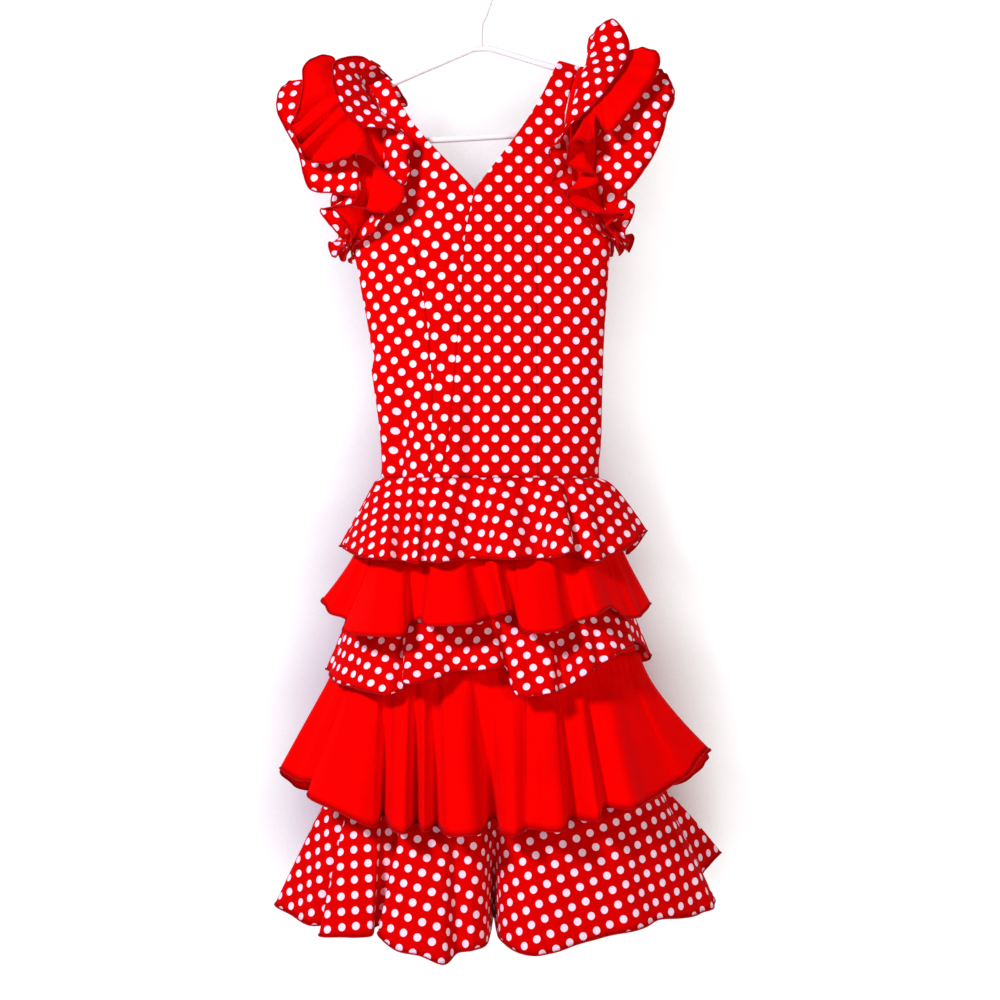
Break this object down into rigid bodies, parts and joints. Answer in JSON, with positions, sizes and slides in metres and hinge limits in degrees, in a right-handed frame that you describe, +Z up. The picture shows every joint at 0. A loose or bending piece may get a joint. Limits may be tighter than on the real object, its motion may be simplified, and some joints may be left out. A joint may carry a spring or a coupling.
{
  "type": "flamenco dress on hanger",
  "caption": "Flamenco dress with a close V-neck bodice, ruffled short sleeves and a skirt of gathered flounces, hanging open on a plain tubular hanger.",
  "frame": {"origin": "inside top of the hanger's hook, where a rail or a wall hook carries the dress", "axes": "+Z up, +X towards the wearer's left side, -Y out of the front of the dress"},
  "size_m": [0.67, 0.366, 1.4152],
  "materials": {
    "dotted_cloth": "red stretch crepe printed with white dots, matt",
    "plain_red_cloth": "plain red stretch crepe, matt",
    "white_plastic": "white moulded plastic, satin",
    "red_painted_zinc": "red enamel on zinc"
  },
  "bodies": {
    "dress": {"back_centre_left": "dotted_cloth", "back_centre_right": "dotted_cloth", "back_side_left": "dotted_cloth", "back_side_right": "dotted_cloth", "flounce_1_dotted": "dotted_cloth", "flounce_2_plain": "plain_red_cloth", "flounce_3_dotted": "dotted_cloth", "flounce_4_plain": "plain_red_cloth", "flounce_5_dotted": "dotted_cloth", "front_centre_left": "dotted_cloth", "front_centre_right": "dotted_cloth", "front_side_left": "dotted_cloth", "front_side_right": "dotted_cloth", "hanger": "white_plastic", "ruffle_left_inner_dotted": "dotted_cloth", "ruffle_left_middle_plain": "plain_red_cloth", "ruffle_left_outer_dotted": "dotted_cloth", "ruffle_right_inner_dotted": "dotted_cloth", "ruffle_right_middle_plain": "plain_red_cloth", "ruffle_right_outer_dotted": "dotted_cloth", "skirt_back": "plain_red_cloth", "skirt_front": "plain_red_cloth", "sleeve_cap_left": "plain_red_cloth", "sleeve_cap_right": "plain_red_cloth", "zip_slider": "red_painted_zinc"},
    "pull": {"zip_pull": "red_painted_zinc"}
  },
  "joints": [
    {"name": "zip_pull_hinge", "type": "hinge", "parent": "dress", "child": "pull", "pos_m": [-0.00373, 0.03796, -0.36113], "axis": [1, 0, 0], "range_deg": [0, 150]}
  ]
}
